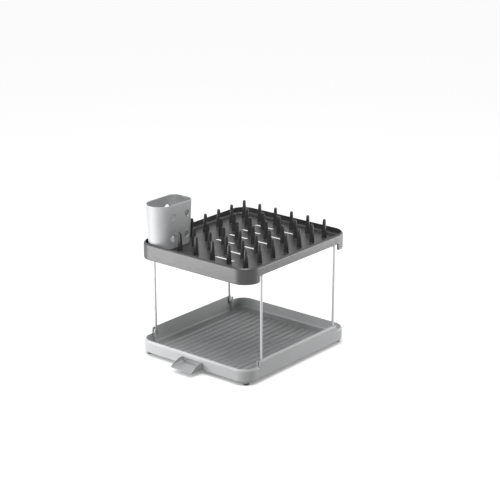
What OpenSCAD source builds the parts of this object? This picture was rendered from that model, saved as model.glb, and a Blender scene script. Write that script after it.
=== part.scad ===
// Two-tier dish rack: a ribbed lower tray with a pull-out drain spout, two folding wire frames,
// and a lift-off upper tray with plate pegs and a cutlery cup.
// Millimetres, +Z up, front towards -Y. The origin is the middle of the rack's box, on the worktop.

/* [Trays] */
// Width of both trays, left to right
tray_w = 294; // [270:1:330]
// Depth of both trays, front to back
tray_d = 336; // [316:1:380]
// Radius of the lower tray's corners, seen from above
lower_corner_r = 30; // [28:1:34]
// Radius of the upper tray's corners, seen from above
upper_corner_r = 35; // [30:1:40]
// Thickness of the tray walls
wall = 4; // [3.6:0.1:4.6]
// Radius of the rounding along the outside of the rims
rim_round = 6; // [5:0.5:8]
// Width of the flat left on top of the rims
rim_flat = 0.8; // [0.6:0.1:1.2]
// Radius of the hollow between a tray's floor and its walls
floor_fillet = 4; // [2:0.5:4]
// Distance from a tray corner's end to the step between its low and its high wall
step_setback = 5; // [2:0.5:8]
// Radius of the rounding where a wall steps up or down
step_round = 3; // [1:0.5:4]

/* [Lower tray] */
// Height of the front and rear rims above the worktop
front_rim_z = 35; // [33:0.5:40]
// Height of the side rims above the worktop
side_rim_z = 48; // [45:0.5:54]
// Rounding along the bottom edge of the lower tray
foot_round = 3; // [1:0.5:3.5]
// Thickness of the lower tray's floor
lower_floor_t = 2.5; // [2:0.1:3]
// Space under the lower tray's floor, above the walls' bottom edge
floor_lift = 1.5; // [1.5:0.1:2]
// Number of drain ribs on the floor
rib_count = 16; // [10:1:18]
// Distance from a side of the tray to the nearest rib
rib_margin = 31.8; // [20:0.2:40]
// Radius of a rib's rounded top
rib_r = 3.5; // [2:0.25:3.5]
// Height of the ribs above the floor
rib_h = 4; // [3:0.25:5]
// Clear floor between the rear wall and the ribs
rib_rear_gap = 30; // [15:1:60]

/* [Feet] */
// Diameter of a foot
foot_d = 12; // [8:0.5:13]
// Thickness of the rubber pad under a foot
pad_h = 3; // [2:0.5:4]
// Height of the lower tray's bottom edge above the worktop
foot_h = 8; // [6:0.5:10]
// Gap between a foot and the inside of its corner
foot_gap = 1; // [0.5:0.5:4]

/* [Drain spout] */
// Outside width of the spout
spout_w = 56; // [40:1:70]
// How far the spout stands out in front of the tray
spout_reach = 33; // [31:0.5:45]
// How far the spout pushes in
spout_travel = 28; // [15:1:30]
// Height of the spout's cheeks, its floor included
spout_h = 14.2; // [10:0.2:16]
// Thickness of the spout's floor
spout_floor_t = 1.6; // [1.2:0.1:2]
// Thickness of the spout's cheeks
cheek_t = 1.8; // [1.2:0.1:3]
// Height of the cheeks at the spout's tip, above its floor
tip_h = 0.6; // [0.4:0.1:2]
// Length of the spout behind the front wall
spout_tail = 3; // [2.5:0.5:6]
// How far the stop ears stand out beside the spout
ear_out = 2.4; // [1.5:0.1:4]
// Thickness of the stop ears
ear_t = 2; // [1:0.1:2.4]
// Thickness of the floor under the spout
pocket_t = 1.6; // [1.2:0.1:1.8]

/* [Wire frames] */
// Diameter of the steel wire
wire_d = 5; // [4.4:0.1:5.2]
// Distance from the trays' outer face to the wires' pivot line
wire_inset = 4.4; // [4.2:0.1:5.4]
// Bend radius at the wires' top corners, to the middle of the wire
top_bend_r = 6; // [5:0.5:12]
// Bend radius at the wires' pivots, to the middle of the wire
pivot_bend_r = 4; // [4:0.5:6]
// Lean of the wires against the side walls, in degrees
frame_lean = 0.15; // [0.1:0.05:0.2]
// Height of the pivots below the front rim
pivot_drop = 1; // [0:0.5:3]
// Thickness of the slotted pivot posts
post_t = 4; // [3:0.5:6]
// Plastic left between a pivot and the inside of its post
post_wall = 2.6; // [2:0.1:4]
// Width of the snap-in slot above a pivot
snap_w = 4.2; // [3.6:0.1:4.2]
// Length of pin that stands out past its post
pin_out = 0.5; // [0.5:0.5:2]

/* [Upper tray] */
// Height of the upper rim above the worktop
upper_rim_z = 247; // [204:1:304]
// Depth of the upper tray's inside
upper_depth = 14; // [12:0.5:16]
// Thickness of the upper tray's floor
upper_floor_t = 2; // [1.6:0.1:2.4]
// Height of the deep front and rear skirts
deep_skirt = 34; // [28:0.5:45]
// Height of the shallow side skirts
side_skirt = 20; // [20:0.5:24]
// Length of a drain slot
slot_l = 53; // [30:1:80]
// Width of a drain slot
slot_w = 8; // [4:0.5:10]
// Width of the floor between the two slots of a row
slot_bridge = 19; // [12:1:50]

/* [Plate pegs] */
// Distance from a side of the tray to the nearest pegs
peg_margin_x = 38.75; // [30:0.25:50]
// Mean distance from the front and the rear of the tray to the nearest row of pegs
peg_margin_y = 39.6; // [30:0.2:50]
// How far the rows of pegs sit behind the tray's middle
peg_setback = 2.5; // [0:0.5:5]
// Height of the pegs above the floor
peg_h = 40.5; // [30:0.5:60]
// Diameter of a peg at the floor
peg_base_d = 11; // [8:0.5:12]
// Diameter of a peg's round tip
peg_tip_d = 6.6; // [4:0.2:7]

/* [Cutlery cup] */
// Width of the cup's mouth, which has a half-round front end
cup_w = 59.5; // [54:0.5:62]
// Length of the cup's mouth
cup_l = 101.7; // [96:0.1:108]
// Radius of the mouth's two rear corners
cup_rear_r = 18; // [14:0.5:22]
// Height of the cup
cup_h = 94.5; // [70:0.5:130]
// How much narrower the cup is at its foot, on each side
cup_taper = 4; // [3:0.5:6]
// Thickness of the cup's wall
cup_wall = 2.2; // [1.6:0.1:3]
// Thickness of the cup's floor
cup_floor_t = 2.5; // [2:0.5:4]
// Diameter of the holes in the cup's flat sides
cup_hole_d = 14; // [6:0.5:15]
// Distance between the holes, front to back
cup_hole_pitch_y = 42; // [20:1:44]
// Distance between the holes, up and down
cup_hole_pitch_z = 46; // [20:1:48]
// How far the middle of the holes sits below the cup's half height
cup_hole_drop = 1.5; // [0:0.5:3]
// Diameter of the drain holes in the cup's floor
cup_drain_d = 8; // [4:0.5:10]

/* [Clearances] */
// Gap between the spout and the tray it slides in
slide_gap = 0.3; // [0.2:0.05:0.5]
// Gap between a wire and the tray it rests against
seat_gap = 0.3; // [0.25:0.05:0.4]
// Radial clearance of the pivot pins in their bores
pin_gap = 0.08; // [0.05:0.01:0.1]
// Gap between the high side walls and the upper tray's notches when the trays nest
nest_gap = 1.2; // [0.8:0.1:2]
// Gap between the cup's foot and the hollow along the tray's front wall
cup_front_gap = 0.3; // [0.2:0.1:2]
// Gap between the cup's foot and the hollow along the tray's side wall
cup_side_gap = 3.75; // [1:0.25:6]

/* [Hidden] */
$fn = 48;
// Overrun of the cutting shapes past the faces that they cut
over = 1;
peg_columns = 6;
peg_rows = 7;
cup_drain_count = 3;

// Plan of the trays
half_w = tray_w / 2;
half_d = tray_d / 2;
inner_w = half_w - wall;
inner_d = half_d - wall;
rim_drop = sqrt(pow(rim_round, 2) - pow(rim_round - wall + rim_flat, 2));
corner_signs = [[1, 1], [-1, 1], [-1, -1], [1, -1]];
side_wall_half = half_d - max(lower_corner_r, upper_corner_r) - step_setback;
notch_half = side_wall_half + nest_gap;
// The spout counts in the rack's box, so the trays sit half its reach behind the origin
box_shift = spout_reach / 2;

// Heights of the lower tray
lower_floor_bottom = foot_h + floor_lift;
lower_floor_z = lower_floor_bottom + lower_floor_t;
pocket_z = lower_floor_z - spout_floor_t - slide_gap;
pocket_bottom = pocket_z - pocket_t;
spout_bottom = pocket_z + slide_gap;
spout_floor_z = spout_bottom + spout_floor_t;
spout_top = spout_bottom + spout_h;
pivot_z = front_rim_z - pivot_drop;

// Heights of the upper tray
upper_floor_z = upper_rim_z - upper_depth;
upper_floor_bottom = upper_floor_z - upper_floor_t;
deep_bottom = upper_rim_z - deep_skirt;
side_bottom = upper_rim_z - side_skirt;

// Wire frames
wire_r = wire_d / 2;
wire_x = half_w - wire_inset;
post_start = side_wall_half - post_t;
leg_y = post_start - seat_gap - pivot_bend_r;
frame_h = upper_floor_bottom - seat_gap - wire_r - pivot_z;
pin_l = seat_gap + post_t + pin_out;
groove_x = wire_x + wire_r + (side_rim_z - pivot_z) * sin(frame_lean) + seat_gap;
bar_x = wire_x + wire_r + frame_h * sin(frame_lean) + seat_gap;
bar_half = leg_y + wire_r + seat_gap;

// Spout, in front of and behind the front wall
spout_half = spout_w / 2;
pocket_half = spout_half + ear_out + slide_gap;
pocket_back = spout_tail + spout_travel + slide_gap;
cheek_drop = spout_h - spout_floor_t - tip_h;
cheek_round = (pow(spout_reach, 2) + pow(cheek_drop, 2)) / (2 * cheek_drop);
rib_front = inner_d - pocket_back - wall / 2 - rib_r;
rib_rear = inner_d - rib_rear_gap;

// Cutlery cup, in the left front corner of the upper tray
cup_mouth_r = cup_w / 2;
cup_foot_r = cup_mouth_r - cup_taper;
cup_rear_x = cup_mouth_r - cup_rear_r;
cup_straight = cup_l - cup_mouth_r - cup_rear_r;
cup_x = -inner_w + floor_fillet + cup_side_gap + cup_foot_r;
cup_y = -inner_d + floor_fillet + cup_front_gap + cup_foot_r + cup_straight / 2;

// Pegs and ribs, spread evenly between the trays' sides
peg_pitch_x = (tray_w - 2 * peg_margin_x) / (peg_columns - 1);
peg_pitch_y = (tray_d - 2 * peg_margin_y) / (peg_rows - 1);
rib_pitch = (tray_w - 2 * rib_margin) / (rib_count - 1);
peg_base_r = peg_base_d / 2;
peg_tip_r = peg_tip_d / 2;
peg_limit_x = cup_x + cup_mouth_r + peg_base_r;
peg_limit_y = cup_y + cup_straight / 2 + cup_rear_r + peg_base_r;

function peg_x(column) = (column - (peg_columns - 1) / 2) * peg_pitch_x;
function peg_y(row) = peg_setback + (row - (peg_rows - 1) / 2) * peg_pitch_y;
function rib_x(index) = (index - (rib_count - 1) / 2) * rib_pitch;
function beside_cup(x, y) = x > peg_limit_x || y > peg_limit_y;

// Section of a tray wall: its outer face on the Y axis, the tray's inside to the left
module wall_section(height, bottom_round, floor_z) {
    difference() {
        translate([-wall - floor_fillet, floor_z - over])
            square([floor_fillet + over, floor_fillet + over]);
        translate([-wall - floor_fillet, floor_z + floor_fillet])
            circle(floor_fillet);
    }
    difference() {
        translate([-wall, 0])
            square([wall, height]);
        difference() {
            translate([-wall, height - rim_drop])
                square([wall + over, rim_drop + over]);
            translate([-rim_round, height - rim_drop])
                circle(rim_round);
        }
        difference() {
            translate([-bottom_round, -over])
                square([bottom_round + over, bottom_round + over]);
            translate([-bottom_round, bottom_round])
                circle(bottom_round);
        }
    }
}

// Sweeps a wall section round the outline of a tray
module around_tray(corner_r) {
    corner_x = half_w - corner_r;
    corner_y = half_d - corner_r;
    reach = [half_w, half_d];
    straight = [2 * corner_y, 2 * corner_x];
    for (side = [0 : 3])
        rotate([0, 0, 90 * side])
            translate([reach[side % 2], 0, 0])
                rotate([90, 0, 0])
                    linear_extrude(straight[side % 2], center = true)
                        children();
    for (corner = [0 : 3])
        translate([corner_signs[corner][0] * corner_x, corner_signs[corner][1] * corner_y, 0])
            rotate([0, 0, 90 * corner])
                rotate_extrude(angle = 90)
                    translate([corner_r, 0])
                        children();
}

// A flat plate that fills the inside of a tray and reaches halfway into its walls
module floor_plate(thickness, corner_r) {
    corner_x = half_w - corner_r;
    corner_y = half_d - corner_r;
    inset = wall / 2;
    linear_extrude(thickness) {
        square([2 * corner_x, tray_d - 2 * inset], center = true);
        square([tray_w - 2 * inset, 2 * corner_y], center = true);
        for (sign = corner_signs)
            translate([sign[0] * corner_x, sign[1] * corner_y])
                circle(corner_r - inset);
    }
}

// Lays an outline drawn in Y and Z across the tray, at both sides or over its whole width
module across(from_x, to_x) {
    translate([from_x, 0, 0])
        rotate([90, 0, 90])
            linear_extrude(to_x - from_x)
                children();
}

// One high side wall, at the right
module side_wall() {
    intersection() {
        translate([half_w, 0, foot_h])
            rotate([90, 0, 0])
                linear_extrude(2 * side_wall_half, center = true)
                    wall_section(side_rim_z - foot_h, foot_round, lower_floor_z - foot_h);
        across(inner_w - over, half_w + over) {
            translate([-side_wall_half, 0])
                square([2 * side_wall_half, side_rim_z - step_round]);
            translate([-side_wall_half + step_round, 0])
                square([2 * (side_wall_half - step_round), side_rim_z]);
            for (end = [-1, 1])
                translate([end * (side_wall_half - step_round), side_rim_z - step_round])
                    circle(step_round);
        }
    }
}

// The two pivot posts of the right side wall
module pivot_posts() {
    post_inner = wire_x - wire_r - post_wall;
    for (end = [-1, 1])
        translate([post_inner, end > 0 ? post_start : -side_wall_half, lower_floor_bottom])
            cube([inner_w + wall / 2 - post_inner, post_t, side_rim_z - step_round - lower_floor_bottom]);
}

// Bores, snap-in slots and leg grooves of the right side wall
module pivot_cuts() {
    bore_l = pin_l + pivot_bend_r + seat_gap + over;
    for (end = [-1, 1]) {
        translate([wire_x, end * leg_y, pivot_z])
            rotate([-90 * end, 0, 0])
                cylinder(h = bore_l, r = wire_r + pin_gap);
        translate([wire_x - snap_w / 2, end > 0 ? post_start - over : -side_wall_half - over, pivot_z])
            cube([snap_w, post_t + 2 * over, side_rim_z]);
        translate([wire_x, end > 0 ? leg_y - wire_d : -post_start, pivot_z - wire_d])
            cube([groove_x - wire_x, post_start - leg_y + wire_d, side_rim_z]);
    }
}

module lower_tray() {
    color("gainsboro")
        difference() {
            union() {
                translate([0, 0, foot_h])
                    around_tray(lower_corner_r)
                        wall_section(front_rim_z - foot_h, foot_round, lower_floor_z - foot_h);
                translate([0, 0, lower_floor_bottom])
                    floor_plate(lower_floor_t, lower_corner_r);
                for (turn = [0, 180])
                    rotate([0, 0, turn]) {
                        side_wall();
                        pivot_posts();
                    }
                translate([-pocket_half - wall / 2, -inner_d - wall / 2, pocket_bottom])
                    cube([2 * pocket_half + wall, pocket_back + wall, lower_floor_z - pocket_bottom]);
                for (rib = [0 : rib_count - 1])
                    drain_rib(rib_x(rib));
                for (sign = corner_signs)
                    at_foot(sign[0], sign[1])
                        translate([0, 0, pad_h])
                            cylinder(h = lower_floor_bottom + lower_floor_t / 2 - pad_h, d = foot_d);
            }
            for (turn = [0, 180])
                rotate([0, 0, turn])
                    pivot_cuts();
            translate([-pocket_half, -inner_d, pocket_z])
                cube([2 * pocket_half, pocket_back, side_rim_z]);
            translate([-spout_half - slide_gap, -half_d - over, pocket_z])
                cube([spout_w + 2 * slide_gap, wall + 2 * over, spout_h + 2 * slide_gap]);
        }
}

// A round-topped rib with round ends, half sunk in the floor
module drain_rib(x) {
    z = lower_floor_z + rib_h - rib_r;
    translate([x, -rib_front, z])
        rotate([-90, 0, 0])
            cylinder(h = rib_front + rib_rear, r = rib_r);
    for (y = [-rib_front, rib_rear])
        translate([x, y, z])
            sphere(rib_r);
    translate([x - rib_r, -rib_front, lower_floor_bottom])
        cube([2 * rib_r, rib_front + rib_rear, z - lower_floor_bottom]);
    for (y = [-rib_front, rib_rear])
        translate([x, y, lower_floor_bottom])
            cylinder(h = z - lower_floor_bottom, r = rib_r);
}

// A foot's place, on the diagonal of its corner
module at_foot(sign_x, sign_y) {
    inwards = lower_corner_r - (lower_corner_r - wall - foot_gap - foot_d / 2) / sqrt(2);
    translate([sign_x * (half_w - inwards), sign_y * (half_d - inwards), 0])
        children();
}

// A rubber pad under a foot
module foot(sign_x, sign_y) {
    color("dimgray")
        at_foot(sign_x, sign_y)
            cylinder(h = pad_h, d = foot_d);
}

// The spout's side view, in Y and Z: level behind the front wall, rounded down to the tip
module spout_side() {
    translate([-half_d, spout_bottom])
        square([wall + spout_tail, spout_h]);
    intersection() {
        translate([-half_d - spout_reach, spout_bottom])
            square([spout_reach + over, spout_h]);
        translate([-half_d, spout_top - cheek_round])
            circle(cheek_round);
    }
}

module drain_spout() {
    color("darkgray")
        difference() {
            union() {
                across(-spout_half, spout_half)
                    spout_side();
                translate([-spout_half - ear_out, -inner_d + slide_gap, spout_bottom])
                    cube([spout_w + 2 * ear_out, ear_t, spout_h]);
            }
            translate([-spout_half + cheek_t, -half_d - spout_reach - over, spout_floor_z])
                cube([spout_w - 2 * cheek_t, spout_reach + wall + spout_tail + 2 * over, spout_h]);
        }
}

// A straight run of wire in the frame's own plane
module wire_run(start, length, angle) {
    translate(start)
        rotate([0, 0, angle])
            rotate([0, 90, 0])
                cylinder(h = length, r = wire_r);
}

// A quarter bend of wire in the frame's own plane
module wire_bend(centre, radius, angle) {
    translate(centre)
        rotate([0, 0, angle])
            rotate_extrude(angle = 90)
                translate([radius, 0])
                    circle(wire_r);
}

// The right frame: pin, leg, top bar, leg and pin from one wire, leaning on the side wall
module wire_frame() {
    bar_half_l = leg_y - top_bend_r;
    leg_l = frame_h - top_bend_r - pivot_bend_r;
    pin_y = leg_y + pivot_bend_r;
    translate([wire_x, 0, pivot_z])
        rotate([0, frame_lean, 0])
            rotate([90, 0, 90]) {
                wire_run([-bar_half_l, frame_h, 0], 2 * bar_half_l, 0);
                wire_bend([bar_half_l, frame_h - top_bend_r, 0], top_bend_r, 0);
                wire_bend([-bar_half_l, frame_h - top_bend_r, 0], top_bend_r, 90);
                for (end = [-1, 1])
                    wire_run([end * leg_y, pivot_bend_r, 0], leg_l, 90);
                wire_bend([pin_y, pivot_bend_r, 0], pivot_bend_r, 180);
                wire_bend([-pin_y, pivot_bend_r, 0], pivot_bend_r, 270);
                wire_run([pin_y, 0, 0], pin_l, 0);
                wire_run([-pin_y, 0, 0], pin_l, 180);
            }
}

module left_frame() {
    color("silver")
        rotate([0, 0, 180])
            wire_frame();
}

module right_frame() {
    color("silver")
        wire_frame();
}

// The side skirts' notch in Y and Z, rounded at its top and flared at its foot
module skirt_notch() {
    translate([-notch_half, deep_bottom - over])
        square([2 * notch_half, side_bottom - step_round - deep_bottom + over]);
    translate([-notch_half + step_round, deep_bottom - over])
        square([2 * (notch_half - step_round), side_bottom - deep_bottom + over]);
    for (end = [-1, 1]) {
        translate([end * (notch_half - step_round), side_bottom - step_round])
            circle(step_round);
        difference() {
            translate([end * notch_half - (end > 0 ? over : step_round), deep_bottom - over])
                square([step_round + over, step_round + over]);
            translate([end * (notch_half + step_round), deep_bottom + step_round])
                circle(step_round);
        }
    }
}

// One row of drain slots across the upper tray's floor, on one side only beside the cup
module slot_row(y) {
    straight = slot_l - slot_w;
    for (side = y > peg_limit_y ? [-1, 1] : [1])
        translate([side * (slot_l + slot_bridge) / 2, y, upper_floor_bottom - over])
            linear_extrude(upper_floor_t + 2 * over) {
                square([straight, slot_w], center = true);
                for (end = [-1, 1])
                    translate([end * straight / 2, 0])
                        circle(d = slot_w);
            }
}

module upper_tray() {
    color("dimgray")
        difference() {
            union() {
                translate([0, 0, deep_bottom])
                    around_tray(upper_corner_r)
                        wall_section(deep_skirt, over, deep_skirt - upper_depth);
                translate([0, 0, upper_floor_bottom])
                    floor_plate(upper_floor_t, upper_corner_r);
            }
            across(-half_w - over, half_w + over)
                skirt_notch();
            for (side = [-1, 1])
                translate([side > 0 ? inner_w - over : -bar_x, -bar_half, side_bottom - over])
                    cube([bar_x - inner_w + over, 2 * bar_half, upper_floor_bottom - side_bottom + over]);
            for (row = [0 : peg_rows - 2])
                slot_row(peg_y(row) + peg_pitch_y / 2);
        }
}

module peg(x, y) {
    cone_h = peg_h - peg_tip_r;
    translate([x, y, upper_floor_z]) {
        cylinder(h = cone_h, r1 = peg_base_r, r2 = peg_tip_r);
        translate([0, 0, cone_h])
            sphere(peg_tip_r);
    }
}

// One row of pegs, left to right, without those that would stand in the cup
module peg_row(row) {
    color("darkslategray")
        for (column = [0 : peg_columns - 1])
            if (beside_cup(peg_x(column), peg_y(row)))
                peg(peg_x(column), peg_y(row));
}

// A tapered solid with a half-round front end, two flat sides and two rounded rear corners
module cup_solid(foot_r, mouth_r, height) {
    rear_y = cup_straight / 2;
    translate([0, -rear_y, 0])
        cylinder(h = height, r1 = foot_r, r2 = mouth_r);
    for (side = [-1, 1])
        translate([side * cup_rear_x, rear_y, 0])
            cylinder(h = height, r1 = foot_r - cup_rear_x, r2 = mouth_r - cup_rear_x);
    rotate([90, 0, 0])
        linear_extrude(cup_straight, center = true)
            polygon([[-foot_r, 0], [foot_r, 0], [mouth_r, height], [-mouth_r, height]]);
    across(-cup_rear_x, cup_rear_x)
        translate([rear_y - cup_rear_x, 0])
            polygon([[0, 0], [foot_r, 0], [mouth_r, height], [0, height]]);
}

module cutlery_cup() {
    slope = cup_taper / cup_h;
    inner_foot_r = cup_foot_r - cup_wall + slope * cup_floor_t;
    inner_mouth_r = cup_mouth_r - cup_wall + slope * over;
    hole_z = cup_h / 2 - cup_hole_drop;
    color("lightgray")
        translate([cup_x, cup_y, upper_floor_z])
            difference() {
                cup_solid(cup_foot_r, cup_mouth_r, cup_h);
                translate([0, 0, cup_floor_t])
                    cup_solid(inner_foot_r, inner_mouth_r, cup_h - cup_floor_t + over);
                for (end_y = [-1, 1], end_z = [-1, 1])
                    translate([0, end_y * cup_hole_pitch_y / 2, hole_z + end_z * cup_hole_pitch_z / 2])
                        rotate([0, 90, 0])
                            cylinder(h = cup_w + 2 * over, d = cup_hole_d, center = true);
                for (hole = [0 : cup_drain_count - 1])
                    translate([0, (hole - (cup_drain_count - 1) / 2) * cup_straight / 2, -over])
                        cylinder(h = cup_floor_t + 2 * over, d = cup_drain_d);
            }
}

translate([0, box_shift, 0]) {
    lower_tray();
    foot(-1, -1);  // foot_front_left
    foot(1, -1);  // foot_front_right
    foot(-1, 1);  // foot_rear_left
    foot(1, 1);  // foot_rear_right
    drain_spout();
    left_frame();
    right_frame();
    upper_tray();
    peg_row(0);  // peg_row_1
    peg_row(1);  // peg_row_2
    peg_row(2);  // peg_row_3
    peg_row(3);  // peg_row_4
    peg_row(4);  // peg_row_5
    peg_row(5);  // peg_row_6
    peg_row(6);  // peg_row_7
    cutlery_cup();
}
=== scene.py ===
"""Looks of a two-tier dish rack: moulded trays, plate pegs, a cutlery cup, a drain spout and wire frames."""

import math

import bmesh
import bpy
from mathutils import Matrix, Vector


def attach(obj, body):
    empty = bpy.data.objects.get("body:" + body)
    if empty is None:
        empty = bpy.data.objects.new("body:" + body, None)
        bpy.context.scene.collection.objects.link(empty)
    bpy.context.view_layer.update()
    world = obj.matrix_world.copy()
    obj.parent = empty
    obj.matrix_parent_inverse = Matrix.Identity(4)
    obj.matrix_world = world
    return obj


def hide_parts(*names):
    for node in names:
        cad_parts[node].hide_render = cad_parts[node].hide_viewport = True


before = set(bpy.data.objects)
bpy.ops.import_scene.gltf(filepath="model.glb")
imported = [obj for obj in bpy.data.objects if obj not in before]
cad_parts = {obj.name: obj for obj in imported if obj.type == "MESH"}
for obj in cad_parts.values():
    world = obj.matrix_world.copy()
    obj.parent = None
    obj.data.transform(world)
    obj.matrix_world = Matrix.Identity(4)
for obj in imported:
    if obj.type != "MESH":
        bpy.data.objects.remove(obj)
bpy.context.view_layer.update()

MM = 0.001
# The trays sit half the spout's reach behind the origin; all sizes below are in mm, centred on the trays
SHIFT_Y = 16.5
CORNERS = [(side, end) for side in (-1, 1) for end in (-1, 1)]

# Trays
HALF_W, HALF_D, WALL = 147.0, 168.0, 4.0
LOWER_CORNER, UPPER_CORNER = 30.0, 35.0
RIM_R, RIM_FLAT, RIM_EDGE = 6.0, 0.8, 0.45
RIM_REACH = RIM_R - WALL + RIM_FLAT
RIM_DROP = math.sqrt(RIM_R ** 2 - RIM_REACH ** 2)
RIM_TURN = math.degrees(math.acos(RIM_REACH / RIM_R))
FLOOR_FILLET, FLOOR_RING = 4.0, 10.0
STEP_R, SIDE_STATION = 3.0, 60.0
CORNER_PARTS, RIM_PARTS, EDGE_PARTS, FILLET_PARTS, STEP_PARTS = 14, 7, 3, 6, 6
TRAY_SOFT = 0.35

# Lower tray
FOOT_H, FOOT_ROUND, FOOT_PARTS, FOOT_EDGE = 8.0, 3.0, 5, 0.4
LOWER_UNDER, LOWER_FLOOR, UNDER_FILLET = 9.5, 12.0, 0.6
LOW_RIM, HIGH_RIM, HIGH_HALF = 35.0, 48.0, 128.0
RIB_COUNT, RIB_PITCH, RIB_R, RIB_H, RIB_FLARE = 16, 15.36, 3.5, 4.0, 0.5
RIB_FRONT, RIB_REAR, RIB_TURN, RIB_PARTS = -127.2, 134.0, 88, 8
POCKET_HALF, POCKET_FLOOR, POCKET_REAR = 30.7, 10.1, -132.7
POCKET_WALL, POCKET_T, POCKET_LAP, POCKET_SOFT = 2.0, 1.6, 0.2, 0.4
MOUTH_HALF, MOUTH_TOP = 28.3, 24.9
# Ribs and pegs start this far below the floor they stand on
SINK = 0.3
# How far the cutters reach past what they cut
MOUTH_OVER, WALL_OVER, TOP_OVER, SNAP_OVER, BORE_OVER = 3, 1, 5, 0.5, 0.2

# Wires and their posts
WIRE_R, WIRE_X, WIRE_ROOM, PIVOT_Z = 2.5, 142.6, 3, 34.0
POST_INNER, POST_OUTER, POST_TOP, POST_T = 137.5, 143.2, 45.0, 4.0
POST_ROUND, POST_SINK, POST_GAP, POST_SOFT = 1.0, 1, 0.02, 0.3
BORE_R, SNAP_HALF, SNAP_LEAD = 2.58, 2.1, 0.8
GROOVE_X, GROOVE_FRONT = 145.44, 114.7

# Upper tray
UPPER_RIM, UPPER_FLOOR, UPPER_UNDER = 247.0, 233.0, 231.0
DEEP_BOTTOM, SIDE_BOTTOM, NOTCH_HALF = 213.0, 227.0, 129.2
SKIRT_ROUND, SKIRT_EDGE, SKIRT_FILLET = 1.0, 0.3, 0.8
SEAT_DEPTH, SEAT_HALF = 1.09, 122.5
SLOT_L, SLOT_W, SLOT_X, SLOT_OVER, SLOT_PARTS = 53.0, 8.0, 36.0, 2, 10

# Pegs
PEG_PITCH_X, PEG_PITCH_Y, PEG_SETBACK, PEG_COLUMNS, PEG_ROWS = 43.3, 42.8, 2.5, 6, 7
PEG_H, PEG_BASE_R, PEG_TIP_R, PEG_FLARE = 40.5, 5.5, 3.3, 1.0
PEG_SHARES, PEG_TURN = (0.25, 0.5, 0.75), 86

# Cup
CUP_X, CUP_Y, CUP_MOUTH_R, CUP_TAPER = -109.5, -106.975, 29.75, 4.0
CUP_H, CUP_STRAIGHT, CUP_WALL, CUP_FLOOR = 94.5, 53.95, 2.2, 2.5
CUP_REAR_X, CUP_REAR_R = 11.75, 18.0
CUP_HOLE_R, CUP_HOLE_Y, CUP_HOLE_Z, CUP_HOLE_MID, CUP_DRAIN_R = 7.0, 21.0, 23.0, 45.75, 4.0
CUP_FOOT_R, CUP_HOLLOW_R, CUP_SOFT = 1.8, 3.0, 0.45
CUP_FRONT_PARTS, CUP_REAR_PARTS, CUP_LIP_PARTS, CUP_HOLE_PARTS = 30, 14, 8, 36
# The hollow under the cup as (inset, height), and the heights of the rings in its wall
CUP_UNDER, CUP_RINGS = ((5.0, 0.8), (4.2, 0.0)), (20, 40, 60, 80)
CUP_HOLE_REACH, DRAIN_BELOW, DRAIN_ABOVE = 40, 3, 5
# Pegs and slots stay clear of the cup
CUP_SIDE = CUP_X + CUP_MOUTH_R + PEG_BASE_R
CUP_REAR = CUP_Y + CUP_STRAIGHT / 2 + CUP_REAR_R + PEG_BASE_R

# Feet
FOOT_R, FOOT_IN, FOOT_LAP = 6.0, 16.565, 1
PAD_H, PAD_GAP, PAD_EDGE, PAD_ROUND, PAD_ROUND_PARTS, PAD_PARTS = 3.0, 0.02, 0.3, 1.0, 4, 32
# The dish under a pad as (radius, height)
PAD_DISH = [(2.8, 0.7), (3.4, 0.5), (3.8, 0.0)]

# Spout
SPOUT_HALF, SPOUT_TIP, SPOUT_TAIL, CHEEK_T = 28.0, -201.0, -161.0, 1.8
SPOUT_UNDER, SPOUT_FLOOR, SPOUT_TOP, CHEEK_ARC = 10.4, 12.0, 24.6, 51.4
SPOUT_STEPS, SPOUT_EASE = 16, 1.2
SPOUT_HOLLOW_R, SPOUT_HOLLOW_SHARE, SPOUT_HOLLOW_PARTS = 6.0, 0.9, 7
SPOUT_SOFT, SPOUT_SHARP = 0.35, 55.0
EAR_HALF, EAR_FRONT, EAR_REAR, EAR_LAP = 30.4, -163.7, -161.7, 1

# Noise in the materials as (scale, detail) and, where it is drawn out, its stretch
NOISE_MIDDLE = (0.3, 0.7)
CLOUDS, GRAIN = (22, 4), (1100, 2)
GLOSS, GLOSS_DOWN, GLOSS_UP = (60, 5, (1, 1, 4)), 0.05, 0.06
GRAIN_DEPTH = 0.0002
STEEL_CLOUDS, STEEL_CHANGE = (40, 3), 0.04
LINES, LINES_DOWN, LINES_UP = (900, 3, (1, 1, 0.02)), 0.05, 0.08
LINES_BUMP, LINES_DEPTH = 0.08, 0.0001

# Floor, light and camera, in metres
FLOOR_HALF, FLOOR_GREY, FLOOR_ROUGH = 9, (0.5, 0.5, 0.5, 1), 0.9
# The floor's emitted white, and the reach of the painted contact shadow that ambient occlusion cuts into it
FLOOR_WHITE, PAINTED_SHADOW_REACH = 0.93, 0.02
WORLD_FILL, WORLD_SEEN = 0.05, 1.0
WHITE = (1, 1, 1, 1)
AIM = (0, 0, 0.15)
# Name, place, width, height and power
LAMPS = (
    ("key", (-0.32, -0.56, 0.195), 0.6, 0.38, 3.8),
    ("fill", (0.55, 0.67, 0.19), 0.75, 0.37, 3.9),
    ("front", (0.38, -0.46, 1.5), 0.8, 0.8, 15.5),
)
LENS, SENSOR = 112.66, 36.0
CLIP_START, CLIP_END = 0.05, 50.0
CAMERA_PLACE = (1.9645, -2.3692 + SHIFT_Y * MM, 1.2438)
CAMERA_RIGHT, CAMERA_UP = (0.7723, 0.6353, 0.0), (-0.2012, 0.2446, 0.9485)
CAMERA_BACK = (0.6026, -0.7325, 0.3167)


# Mesh helpers

def arc(centre_a, centre_b, radius, start, end, parts):
    """Points of an arc in the plane of a and b, angles in degrees."""
    turn = [math.radians(start + (end - start) * i / parts) for i in range(parts + 1)]
    return [(centre_a + radius * math.cos(t), centre_b + radius * math.sin(t)) for t in turn]


def circle(centre_a, centre_b, radius, parts=24):
    """Points round a whole circle."""
    return arc(centre_a, centre_b, radius, 0, 360 - 360 / parts, parts - 1)


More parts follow.
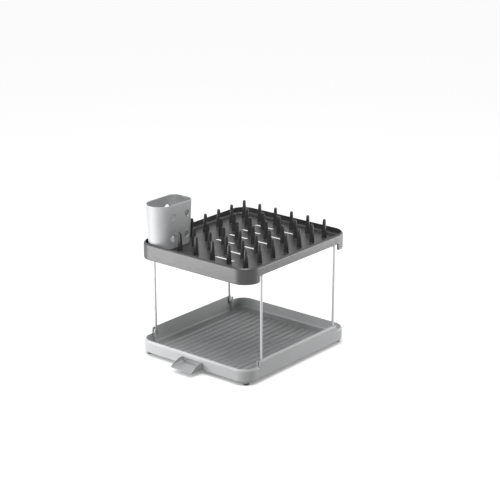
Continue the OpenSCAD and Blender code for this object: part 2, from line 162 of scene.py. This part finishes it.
def new_object(name, verts, faces):
    """A mesh object from points in mm, centred on the trays."""
    mesh = bpy.data.meshes.new(name)
    mesh.from_pydata([(x * MM, (y + SHIFT_Y) * MM, z * MM) for x, y, z in verts], [], faces)
    mesh.validate()
    mesh.update()
    piece = bpy.data.objects.new(name, mesh)
    bpy.context.scene.collection.objects.link(piece)
    return piece


def skin(rings):
    """Joins rings of points into a closed skin, with a face over its first and last ring."""
    count = len(rings[0])
    verts = [p for ring in rings for p in ring]
    faces = []
    for level in range(len(rings) - 1):
        a, b = level * count, (level + 1) * count
        for i in range(count):
            j = (i + 1) % count
            faces.append((a + i, a + j, b + j, b + i))
    faces.append(tuple(range(count))[::-1])
    faces.append(tuple(range(len(verts) - count, len(verts))))
    return verts, faces


def merge(parts):
    """Several lists of points and faces as one."""
    verts, faces = [], []
    for part_verts, part_faces in parts:
        start = len(verts)
        verts += part_verts
        faces += [tuple(i + start for i in face) for face in part_faces]
    return verts, faces


def stadium(radius, straight, parts):
    """Outline with two round ends along Y."""
    ends = ((0, straight / 2), (180, -straight / 2))
    return [p for start, y in ends for p in arc(0, y, radius, start, start + 180, parts)]


def stadium_stack(levels, straight, x, y, parts):
    """A skin over outlines that change with height: levels are (radius, height)."""
    rings = []
    for radius, height in levels:
        rings.append([(x + a, y + b, height) for a, b in stadium(radius, straight, parts)])
    return skin(rings)


def circle_stack(levels, x, y, z=0.0, parts=24):
    """A turned shape: levels are (radius, height)."""
    return skin([[(a, b, z + height) for a, b in circle(x, y, radius, parts)] for radius, height in levels])


def prism(outline, low, high, axis):
    """An outline drawn out along an axis: in Y and Z along X, in X and Z along Y, or in X and Y along Z."""
    place = {
        "X": lambda a, b, t: (t, a, b),
        "Y": lambda a, b, t: (a, t, b),
        "Z": lambda a, b, t: (a, b, t),
    }[axis]
    return skin([[place(a, b, t) for a, b in outline] for t in (low, high)])


def box(low, high):
    """A plain block, for cuts and as a start for softened ones."""
    (x0, y0, z0), (x1, y1, z1) = low, high
    return prism([(x0, y0), (x1, y0), (x1, y1), (x0, y1)], z0, z1, "Z")


def face_outwards(piece):
    """Joins double points and turns all faces outwards."""
    bm = bmesh.new()
    bm.from_mesh(piece.data)
    bmesh.ops.remove_doubles(bm, verts=bm.verts, dist=1e-7)
    bmesh.ops.recalc_face_normals(bm, faces=bm.faces)
    bm.to_mesh(piece.data)
    bm.free()


def cut(piece, *cutters):
    """Takes the cutters' shapes out of a piece."""
    face_outwards(piece)
    for verts, faces in cutters:
        tool = new_object("cutter", verts, faces)
        face_outwards(tool)
        change = piece.modifiers.new("cut", "BOOLEAN")
        change.operation = "DIFFERENCE"
        change.solver = "EXACT"
        change.object = tool
        depsgraph = bpy.context.evaluated_depsgraph_get()
        mesh = bpy.data.meshes.new_from_object(piece.evaluated_get(depsgraph))
        piece.modifiers.clear()
        piece.data = mesh
        bpy.data.objects.remove(tool)


def soften(piece, width, angle=50.0):
    """Rounds every edge that is sharper than the angle."""
    bm = bmesh.new()
    bm.from_mesh(piece.data)
    bmesh.ops.dissolve_degenerate(bm, dist=1e-6, edges=bm.edges)
    sharp = [e for e in bm.edges if len(e.link_faces) == 2 and e.calc_face_angle() > math.radians(angle)]
    bmesh.ops.bevel(bm, geom=sharp, offset=width * MM, segments=2, profile=0.5, affect="EDGES",
                    clamp_overlap=True)
    bm.to_mesh(piece.data)
    bm.free()


def dress(piece, material, slot, body, *nodes, sharp=38.0):
    """Shading and material of a finished piece; ties it to its body and hides the CAD parts it stands in for."""
    piece.data.shade_smooth()
    piece.data.set_sharp_from_angle(angle=math.radians(sharp))
    normals = piece.modifiers.new("normals", "WEIGHTED_NORMAL")
    normals.keep_sharp = True
    piece.data.materials.clear()
    piece.data.materials.append(material)
    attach(piece, body)
    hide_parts(*nodes)


# Materials

def shader(name):
    """A new material with its nodes and links."""
    material = bpy.data.materials.new(name)
    material.use_nodes = True
    return material, material.node_tree.nodes, material.node_tree.links


def noise(nodes, links, scale, detail, stretch=(1, 1, 1)):
    """Noise over the object's own coordinates, in metres."""
    coords = nodes.new("ShaderNodeTexCoord")
    mapping = nodes.new("ShaderNodeMapping")
    mapping.inputs["Scale"].default_value = stretch
    texture = nodes.new("ShaderNodeTexNoise")
    texture.inputs["Scale"].default_value = scale
    texture.inputs["Detail"].default_value = detail
    links.new(coords.outputs["Object"], mapping.inputs["Vector"])
    links.new(mapping.outputs["Vector"], texture.inputs["Vector"])
    return texture.outputs["Fac"]


def remap(nodes, links, value, low, high, start=0.0, end=1.0):
    """Maps a value's range from start to end to one from low to high."""
    change = nodes.new("ShaderNodeMapRange")
    change.inputs["From Min"].default_value = start
    change.inputs["From Max"].default_value = end
    change.inputs["To Min"].default_value = low
    change.inputs["To Max"].default_value = high
    links.new(value, change.inputs["Value"])
    return change.outputs["Result"]


def spread(nodes, links, value, low, high):
    """Maps the middle of a noise's range."""
    return remap(nodes, links, value, low, high, *NOISE_MIDDLE)


def tint(nodes, links, value, colour, change):
    """A colour that varies a little with a value."""
    mix = nodes.new("ShaderNodeMix")
    mix.data_type = "RGBA"
    mix_colours = [s for s in mix.inputs if s.type == "RGBA"]
    mix_colours[0].default_value = (*[c * (1 - change) for c in colour], 1)
    mix_colours[1].default_value = (*[min(1, c * (1 + change)) for c in colour], 1)
    links.new(value, mix.inputs["Factor"])
    return next(s for s in mix.outputs if s.type == "RGBA")


def raise_grain(nodes, links, surface, height, strength, depth):
    """Bump on a surface from a height."""
    bump = nodes.new("ShaderNodeBump")
    bump.inputs["Strength"].default_value = strength
    bump.inputs["Distance"].default_value = depth
    links.new(height, bump.inputs["Height"])
    links.new(bump.outputs["Normal"], surface.inputs["Normal"])


def moulded_plastic(name, colour, rough, grain, change=0.04, shine=0.5):
    """Moulded plastic: fine spark-eroded grain, slightly cloudy colour and uneven gloss."""
    material, nodes, links = shader(name)
    surface = nodes["Principled BSDF"]
    surface.inputs["Specular IOR Level"].default_value = shine
    clouds = spread(nodes, links, noise(nodes, links, *CLOUDS), 0, 1)
    links.new(tint(nodes, links, clouds, colour, change), surface.inputs["Base Color"])
    gloss = spread(nodes, links, noise(nodes, links, *GLOSS), rough - GLOSS_DOWN, rough + GLOSS_UP)
    links.new(gloss, surface.inputs["Roughness"])
    raise_grain(nodes, links, surface, noise(nodes, links, *GRAIN), grain, GRAIN_DEPTH)
    return material


def drawn_steel(name, colour, rough):
    """Drawn stainless wire: satin, with fine lines along it."""
    material, nodes, links = shader(name)
    surface = nodes["Principled BSDF"]
    surface.inputs["Metallic"].default_value = 1.0
    clouds = spread(nodes, links, noise(nodes, links, *STEEL_CLOUDS), 0, 1)
    links.new(tint(nodes, links, clouds, colour, STEEL_CHANGE), surface.inputs["Base Color"])
    lines = noise(nodes, links, *LINES)
    gloss = spread(nodes, links, lines, rough - LINES_DOWN, rough + LINES_UP)
    links.new(gloss, surface.inputs["Roughness"])
    raise_grain(nodes, links, surface, lines, LINES_BUMP, LINES_DEPTH)
    return material


PALE = moulded_plastic("pale_plastic", (0.47, 0.475, 0.48), 0.42, 0.10)
DARK = moulded_plastic("dark_plastic", (0.03, 0.03, 0.032), 0.37, 0.12, 0.08, 0.85)
PEG = moulded_plastic("peg_plastic", (0.035, 0.035, 0.037), 0.36, 0.10, 0.10)
CUP = moulded_plastic("cup_plastic", (0.51, 0.515, 0.52), 0.42, 0.08)
SPOUT = moulded_plastic("spout_plastic", (0.41, 0.415, 0.42), 0.45, 0.10)
RUBBER = moulded_plastic("foot_rubber", (0.03, 0.03, 0.03), 0.72, 0.30, 0.15)
STEEL = drawn_steel("wire_steel", (0.41, 0.415, 0.42), 0.45)


# Trays

def tray_stations(half_side, default, corner_r):
    """Points round a tray with their outward directions and a value each.

    half_side lists (y, value) from the middle of a side wall to its end; the rest takes the default."""
    corner_x, corner_y = HALF_W - corner_r, HALF_D - corner_r
    up = [(-y, v) for y, v in reversed(half_side)] + half_side
    quarter = [math.radians(90.0 * i / CORNER_PARTS) for i in range(1, CORNER_PARTS)]
    stations = []

    def corner(x, y, start):
        for t in quarter:
            nx, ny = math.cos(math.radians(start) + t), math.sin(math.radians(start) + t)
            stations.append(((x + corner_r * nx, y + corner_r * ny), (nx, ny), default))

    stations += [((HALF_W, y), (1, 0), v) for y, v in up]
    corner(corner_x, corner_y, 0)
    stations += [((x, HALF_D), (0, 1), default) for x in (corner_x, 0, -corner_x)]
    corner(-corner_x, corner_y, 90)
    stations += [((-HALF_W, y), (-1, 0), v) for y, v in reversed(up)]
    corner(-corner_x, -corner_y, 180)
    stations += [((x, -HALF_D), (0, -1), default) for x in (-corner_x, 0, corner_x)]
    corner(corner_x, -corner_y, 270)
    return stations


def sweep(stations, section):
    """A skin from a section of (inset, height) points at every station."""
    sections = [section(value) for _, _, value in stations]
    rings = []
    for level in range(len(sections[0])):
        ring = []
        for ((x, y), (nx, ny), _), points in zip(stations, sections):
            inset, height = points[level]
            ring.append((x - nx * inset, y - ny * inset, height))
        rings.append(ring)
    return skin(rings)


def rim_and_inside(rim, floor):
    """Section points over the rim and down the inside to the floor."""
    points = [(RIM_R - a, b) for a, b in arc(0, rim - RIM_DROP, RIM_R, 0, RIM_TURN, RIM_PARTS)]
    edge = arc(0, rim - RIM_EDGE, RIM_EDGE, 90, 0, EDGE_PARTS)
    points += [(WALL - RIM_EDGE + a, b) for a, b in edge]
    hollow = arc(0, floor + FLOOR_FILLET, FLOOR_FILLET, 0, -90, FILLET_PARTS)
    points += [(WALL + FLOOR_FILLET - a, b) for a, b in hollow]
    points.append((FLOOR_RING, floor))
    return points


def lower_section(rim):
    """Section of the lower tray's wall, from under its floor over the rim to the floor."""
    points = [(FLOOR_RING, LOWER_UNDER), (WALL + UNDER_FILLET, LOWER_UNDER)]
    points += [(WALL, LOWER_UNDER - FOOT_EDGE), (WALL, FOOT_H + FOOT_EDGE), (WALL - FOOT_EDGE, FOOT_H)]
    foot = arc(0, FOOT_H + FOOT_ROUND, FOOT_ROUND, -90, 0, FOOT_PARTS)
    points += [(FOOT_ROUND - a, b) for a, b in foot]
    return points + rim_and_inside(rim, LOWER_FLOOR)


def lower_tray_shell():
    """Floor and walls, with the spout's mouth and pocket, the wires' grooves and the posts' bores."""
    top = arc(HIGH_HALF - STEP_R, HIGH_RIM - STEP_R, STEP_R, 90, 0, STEP_PARTS)
    half_side = [(0.0, HIGH_RIM), (SIDE_STATION, HIGH_RIM)] + top + [(HIGH_HALF, LOW_RIM)]
    half_side.append((HALF_D - LOWER_CORNER, LOW_RIM))
    stations = tray_stations(half_side, LOW_RIM, LOWER_CORNER)
    shell = new_object("lower_tray_shell", *sweep(stations, lower_section))
    wall_inside = -HALF_D + WALL
    mouth = box((-MOUTH_HALF, -HALF_D - MOUTH_OVER, POCKET_FLOOR),
                (MOUTH_HALF, wall_inside + WALL_OVER, MOUTH_TOP))
    pocket = box((-POCKET_HALF, wall_inside, POCKET_FLOOR), (POCKET_HALF, POCKET_REAR, MOUTH_TOP))
    seats = []
    for side, end in CORNERS:
        xs = sorted((side * (WIRE_X - WIRE_ROOM), side * GROOVE_X))
        ys = sorted((end * GROOVE_FRONT, end * (HIGH_HALF - POST_T)))
        seats.append(box((xs[0], ys[0], PIVOT_Z - 2 * WIRE_R), (xs[1], ys[1], HIGH_RIM + TOP_OVER)))
        xs = sorted((side * (WIRE_X - WIRE_ROOM), side * (WIRE_X + SNAP_HALF)))
        ys = sorted((end * (HIGH_HALF - POST_T - SNAP_OVER), end * (HIGH_HALF + WALL_OVER)))
        seats.append(box((xs[0], ys[0], PIVOT_Z), (xs[1], ys[1], HIGH_RIM + TOP_OVER)))
        seats.append(prism(circle(side * WIRE_X, PIVOT_Z, BORE_R), ys[0], ys[1] + BORE_OVER, "Y"))
    cut(shell, mouth, pocket, *seats)
    soften(shell, TRAY_SOFT)
    return shell


def lower_tray_ribs():
    """Round-topped ribs along the lower tray's floor."""
    levels = [(RIB_R + RIB_FLARE, LOWER_FLOOR - SINK)]
    levels += arc(RIB_R + RIB_FLARE, LOWER_FLOOR + RIB_FLARE, RIB_FLARE, -90, -180, 3)
    levels += arc(0, LOWER_FLOOR + RIB_H - RIB_R, RIB_R, 0, RIB_TURN, 7)
    parts = []
    for i in range(RIB_COUNT):
        x = (i - (RIB_COUNT - 1) / 2) * RIB_PITCH
        parts.append(stadium_stack(levels, RIB_REAR - RIB_FRONT, x, (RIB_REAR + RIB_FRONT) / 2, RIB_PARTS))
    return new_object("lower_tray_ribs", *merge(parts))


def pivot_posts():
    """Posts at the ends of the high walls, each with a bore and a snap-in slot open to the top."""
    start = 180 - math.degrees(math.acos(SNAP_HALF / BORE_R))
    end_turn = 360 - math.degrees(math.acos((POST_OUTER - WIRE_X) / BORE_R))
    slot_x = WIRE_X - SNAP_HALF
    outline = [(POST_INNER, LOWER_FLOOR - POST_SINK)]
    outline += arc(POST_INNER + POST_ROUND, POST_TOP - POST_ROUND, POST_ROUND, 180, 90, 4)
    outline += [(slot_x - SNAP_LEAD, POST_TOP), (slot_x, POST_TOP - SNAP_LEAD)]
    outline += arc(WIRE_X, PIVOT_Z, BORE_R, start, end_turn, 14)
    outline += [(POST_OUTER, LOWER_FLOOR - POST_SINK)]
    parts = []
    for side, end in CORNERS:
        ys = sorted((end * (HIGH_HALF - POST_T), end * HIGH_HALF))
        parts.append(prism([(side * x, z) for x, z in outline], ys[0], ys[1] - POST_GAP, "Y"))
    posts = new_object("lower_tray_posts", *merge(parts))
    face_outwards(posts)
    soften(posts, POST_SOFT)
    return posts


def pocket_base():
    """The thicker floor under the spout's pocket."""
    low = (-POCKET_HALF - POCKET_WALL, -HALF_D + WALL - POCKET_WALL, POCKET_FLOOR - POCKET_T)
    high = (POCKET_HALF + POCKET_WALL, POCKET_REAR + POCKET_WALL, LOWER_UNDER + POCKET_LAP)
    base = new_object("lower_tray_pocket", *box(low, high))
    face_outwards(base)
    soften(base, POCKET_SOFT)
    return base


def upper_section(value):
    """Section of the upper tray's wall, from under its floor over the rim to the floor."""
    bottom, inner = value
    outer = min(SKIRT_ROUND, inner - 2 * SKIRT_EDGE)
    points = [(FLOOR_RING, UPPER_UNDER), (inner + SKIRT_FILLET, UPPER_UNDER)]
    points += [(inner, UPPER_UNDER - SKIRT_FILLET), (inner, bottom + SKIRT_EDGE), (inner - SKIRT_EDGE, bottom)]
    points += [(outer - a, b) for a, b in arc(0, bottom + outer, outer, -90, 0, EDGE_PARTS)]
    return points + rim_and_inside(UPPER_RIM, UPPER_FLOOR)


def upper_tray_shell():
    """Floor with slots, walls, deep end skirts and shallow side skirts with the wires' seats."""
    notch = arc(NOTCH_HALF - STEP_R, SIDE_BOTTOM - STEP_R, STEP_R, 90, 0, STEP_PARTS)
    lobe = arc(NOTCH_HALF + STEP_R, DEEP_BOTTOM + STEP_R, STEP_R, 180, 270, STEP_PARTS)
    half_side = [(y, (SIDE_BOTTOM, SEAT_DEPTH)) for y in (0.0, SIDE_STATION, SEAT_HALF)]
    half_side.append((SEAT_HALF, (SIDE_BOTTOM, WALL)))
    half_side += [(y, (z, WALL)) for y, z in notch + lobe]
    half_side.append((HALF_D - UPPER_CORNER, (DEEP_BOTTOM, WALL)))
    stations = tray_stations(half_side, (DEEP_BOTTOM, WALL), UPPER_CORNER)
    shell = new_object("upper_tray_shell", *sweep(stations, upper_section))
    ends = stadium(SLOT_W / 2, SLOT_L - SLOT_W, SLOT_PARTS)
    slots = []
    for row in range(PEG_ROWS - 1):
        y = PEG_SETBACK + (row - (PEG_ROWS - 2) / 2) * PEG_PITCH_Y
        for side in ((-1, 1) if y > CUP_REAR else (1,)):
            outline = [(side * SLOT_X - b, y + a) for a, b in ends]
            slots.append(prism(outline, UPPER_UNDER - SLOT_OVER, UPPER_FLOOR + SLOT_OVER, "Z"))
    cut(shell, *slots)
    soften(shell, TRAY_SOFT)
    return shell


def peg_row(row):
    """One row of tapered pegs, without those that would stand in the cup."""
    cone = PEG_H - PEG_TIP_R
    levels = [(PEG_BASE_R + PEG_FLARE, -SINK)]
    levels += arc(PEG_BASE_R + PEG_FLARE, PEG_FLARE, PEG_FLARE, -90, -180, 4)
    levels += [(PEG_BASE_R + (PEG_TIP_R - PEG_BASE_R) * share, cone * share) for share in PEG_SHARES]
    levels += arc(0, cone, PEG_TIP_R, 0, PEG_TURN, 7)
    y = PEG_SETBACK + (row - (PEG_ROWS - 1) / 2) * PEG_PITCH_Y
    parts = []
    for column in range(PEG_COLUMNS):
        x = (column - (PEG_COLUMNS - 1) / 2) * PEG_PITCH_X
        if x > CUP_SIDE or y > CUP_REAR:
            parts.append(circle_stack(levels, x, y, UPPER_FLOOR))
    return new_object(f"peg_row_{row + 1}_pegs", *merge(parts))


def cutlery_cup():
    """A tapered cup with a half-round front end and two rounded rear corners."""
    rear_y = CUP_STRAIGHT / 2

    def outline(radius):
        rear_r = radius - CUP_REAR_X
        points = arc(0, -rear_y, radius, 180, 360, CUP_FRONT_PARTS)
        points += arc(CUP_REAR_X, rear_y, rear_r, 0, 90, CUP_REAR_PARTS)
        points += arc(-CUP_REAR_X, rear_y, rear_r, 90, 180, CUP_REAR_PARTS)
        return [(CUP_X + x, CUP_Y + y) for x, y in points]

    def outside(height):
        return CUP_MOUTH_R - CUP_TAPER * (1 - height / CUP_H)

    lip, foot, hollow = CUP_WALL / 2, CUP_FOOT_R, CUP_HOLLOW_R
    levels = [(outside(0) - inset, z) for inset, z in CUP_UNDER]
    levels += arc(outside(foot) - foot, foot, foot, -90, 0, 5)
    levels += [(outside(z), z) for z in CUP_RINGS]
    levels += arc(outside(CUP_H - lip) - lip, CUP_H - lip, lip, 0, 180, CUP_LIP_PARTS)
    levels += [(outside(z) - CUP_WALL, z) for z in reversed(CUP_RINGS)]
    levels += arc(outside(hollow) - CUP_WALL - hollow, CUP_FLOOR + hollow, hollow, 0, -90, 5)
    rings = [[(x, y, UPPER_FLOOR + height) for x, y in outline(radius)] for radius, height in levels]
    cup = new_object("cutlery_cup_body", *skin(rings))
    cutters = []
    for y in (-CUP_HOLE_Y, CUP_HOLE_Y):
        for z in (-CUP_HOLE_Z, CUP_HOLE_Z):
            hole = circle(CUP_Y + y, UPPER_FLOOR + CUP_HOLE_MID + z, CUP_HOLE_R, CUP_HOLE_PARTS)
            cutters.append(prism(hole, CUP_X - CUP_HOLE_REACH, CUP_X + CUP_HOLE_REACH, "X"))
    for y in (-rear_y, 0, rear_y):
        drain = circle(CUP_X, CUP_Y + y, CUP_DRAIN_R)
        cutters.append(prism(drain, UPPER_FLOOR - DRAIN_BELOW, UPPER_FLOOR + DRAIN_ABOVE, "Z"))
    cut(cup, *cutters)
    soften(cup, CUP_SOFT)
    return cup


def drain_spout():
    """A channel with a hollowed floor and two cheeks that round down to its tip, and its stop ears."""
    reach, inner = -HALF_D - SPOUT_TIP, SPOUT_HALF - CHEEK_T
    ys = [SPOUT_TIP + reach * (i / SPOUT_STEPS) ** SPOUT_EASE for i in range(SPOUT_STEPS + 1)]
    rings = []
    for y in ys + [SPOUT_TAIL]:
        top = SPOUT_TOP
        if y < -HALF_D:
            top += math.sqrt(CHEEK_ARC ** 2 - (y + HALF_D) ** 2) - CHEEK_ARC
        hollow = min(SPOUT_HOLLOW_R, (top - SPOUT_FLOOR) * SPOUT_HOLLOW_SHARE)
        channel = arc(0, SPOUT_FLOOR + hollow, hollow, 0, -90, SPOUT_HOLLOW_PARTS)
        right = [(SPOUT_HALF, SPOUT_UNDER), (SPOUT_HALF, top), (inner, top)]
        right += [(inner - hollow + a, b) for a, b in channel]
        left = [(-x, z) for x, z in reversed(right)]
        rings.append([(x, y, z) for x, z in right + left])
    ears = []
    for side in (-1, 1):
        xs = sorted((side * (SPOUT_HALF - EAR_LAP), side * EAR_HALF))
        ears.append(box((xs[0], EAR_FRONT, SPOUT_UNDER), (xs[1], EAR_REAR, SPOUT_TOP)))
    spout = new_object("drain_spout_body", *merge([skin(rings)] + ears))
    face_outwards(spout)
    soften(spout, SPOUT_SOFT, SPOUT_SHARP)
    return spout


def foot_places():
    """The feet's names and places, on the diagonals of the lower tray's corners."""
    for side, end in CORNERS:
        name = f"foot_{'rear' if end > 0 else 'front'}_{'right' if side > 0 else 'left'}"
        yield name, side * (HALF_W - FOOT_IN), end * (HALF_D - FOOT_IN)


def foot_bosses():
    """Short bosses under the lower tray that carry the pads."""
    levels = [(FOOT_R - PAD_EDGE, PAD_H + PAD_GAP), (FOOT_R, PAD_H + PAD_EDGE), (FOOT_R, LOWER_UNDER + FOOT_LAP)]
    parts = [circle_stack(levels, x, y, parts=PAD_PARTS) for _, x, y in foot_places()]
    return new_object("lower_tray_feet", *merge(parts))


def rubber_pad(name, x, y):
    """A round pad, dished underneath."""
    levels = PAD_DISH + arc(FOOT_R - PAD_ROUND, PAD_ROUND, PAD_ROUND, -90, 0, PAD_ROUND_PARTS)
    levels += [(FOOT_R, PAD_H - PAD_EDGE), (FOOT_R - PAD_EDGE, PAD_H)]
    return new_object(name + "_pad", *circle_stack(levels, x, y, parts=PAD_PARTS))


for part in (lower_tray_shell(), lower_tray_ribs(), pivot_posts(), pocket_base(), foot_bosses()):
    dress(part, PALE, "pale_plastic", "base", "lower_tray")
dress(upper_tray_shell(), DARK, "dark_plastic", "upper", "upper_tray")
for number in range(PEG_ROWS):
    dress(peg_row(number), PEG, "peg_plastic", "upper", f"peg_row_{number + 1}")
dress(cutlery_cup(), CUP, "cup_plastic", "cup", "cutlery_cup")
dress(drain_spout(), SPOUT, "spout_plastic", "spout", "drain_spout")
for node, foot_x, foot_y in foot_places():
    dress(rubber_pad(node, foot_x, foot_y), RUBBER, "foot_rubber", "base", node)
for node in ("left_frame", "right_frame"):
    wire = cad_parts[node]
    wire.data.materials.clear()
    wire.data.materials.append(STEEL)


# Floor, light and camera

def larger(nodes, links, first, second):
    """The larger of two values."""
    choice = nodes.new("ShaderNodeMath")
    choice.operation = "MAXIMUM"
    links.new(first, choice.inputs[0])
    links.new(second, choice.inputs[1])
    return choice.outputs["Value"]


def backdrop_rays(nodes, links):
    """One for the rays that show the backdrop: straight to the camera, mirrored or through glass."""
    rays = nodes.new("ShaderNodeLightPath")
    seen = larger(nodes, links, rays.outputs["Is Camera Ray"], rays.outputs["Is Glossy Ray"])
    return larger(nodes, links, seen, rays.outputs["Is Transmission Ray"])


def floor_material():
    """Pale floor, lifted by emission to the backdrop's white where it is open; ambient occlusion cuts the lift
    into a painted contact shadow close under the object.
    """
    material, nodes, links = shader("floor")
    surface = nodes["Principled BSDF"]
    surface.inputs["Base Color"].default_value = FLOOR_GREY
    surface.inputs["Roughness"].default_value = FLOOR_ROUGH
    surface.inputs["Specular IOR Level"].default_value = 0.0
    surface.inputs["Emission Color"].default_value = WHITE
    # Painted contact shadow: ambient occlusion darkens the floor's emitted white close under the object
    shade = nodes.new("ShaderNodeAmbientOcclusion")
    shade.inputs["Distance"].default_value = PAINTED_SHADOW_REACH
    lift = nodes.new("ShaderNodeMath")
    lift.operation = "MULTIPLY"
    links.new(backdrop_rays(nodes, links), lift.inputs[0])
    links.new(remap(nodes, links, shade.outputs["AO"], 0.0, FLOOR_WHITE), lift.inputs[1])
    links.new(lift.outputs["Value"], surface.inputs["Emission Strength"])
    return material


def area_light(name, place, width, height, power):
    """A rectangular lamp that faces the rack's middle."""
    light = bpy.data.lights.new(name, "AREA")
    light.shape = "RECTANGLE"
    light.size = width
    light.size_y = height
    light.energy = power
    lamp = bpy.data.objects.new(name, light)
    lamp.location = place
    lamp.rotation_mode = "QUATERNION"
    lamp.rotation_quaternion = (Vector(AIM) - Vector(place)).to_track_quat("-Z", "Y")
    bpy.context.scene.collection.objects.link(lamp)


floor_mesh = bpy.data.meshes.new("floor")
floor_corners = [(x * FLOOR_HALF, y * FLOOR_HALF, 0) for x, y in ((-1, -1), (1, -1), (1, 1), (-1, 1))]
floor_mesh.from_pydata(floor_corners, [], [(0, 1, 2, 3)])
floor = bpy.data.objects.new("floor", floor_mesh)
floor.data.materials.append(floor_material())
bpy.context.scene.collection.objects.link(floor)

world = bpy.data.worlds.new("world")
world.use_nodes = True
world_nodes, world_links = world.node_tree.nodes, world.node_tree.links
sky = world_nodes["Background"]
sky.inputs["Color"].default_value = WHITE
sky_level = remap(world_nodes, world_links, backdrop_rays(world_nodes, world_links), WORLD_FILL, WORLD_SEEN)
world_links.new(sky_level, sky.inputs["Strength"])
bpy.context.scene.world = world

for lamp_sizes in LAMPS:
    area_light(*lamp_sizes)

bpy.context.scene.view_settings.view_transform = "Standard"

camera = bpy.data.cameras.new("camera")
camera.sensor_fit = "HORIZONTAL"
camera.sensor_width = SENSOR
camera.lens = LENS
camera.clip_start, camera.clip_end = CLIP_START, CLIP_END
camera_object = bpy.data.objects.new("camera", camera)
camera_rows = list(zip(CAMERA_RIGHT, CAMERA_UP, CAMERA_BACK, CAMERA_PLACE))
camera_object.matrix_world = Matrix(camera_rows + [(0, 0, 0, 1)])
bpy.context.scene.collection.objects.link(camera_object)
bpy.context.scene.camera = camera_object
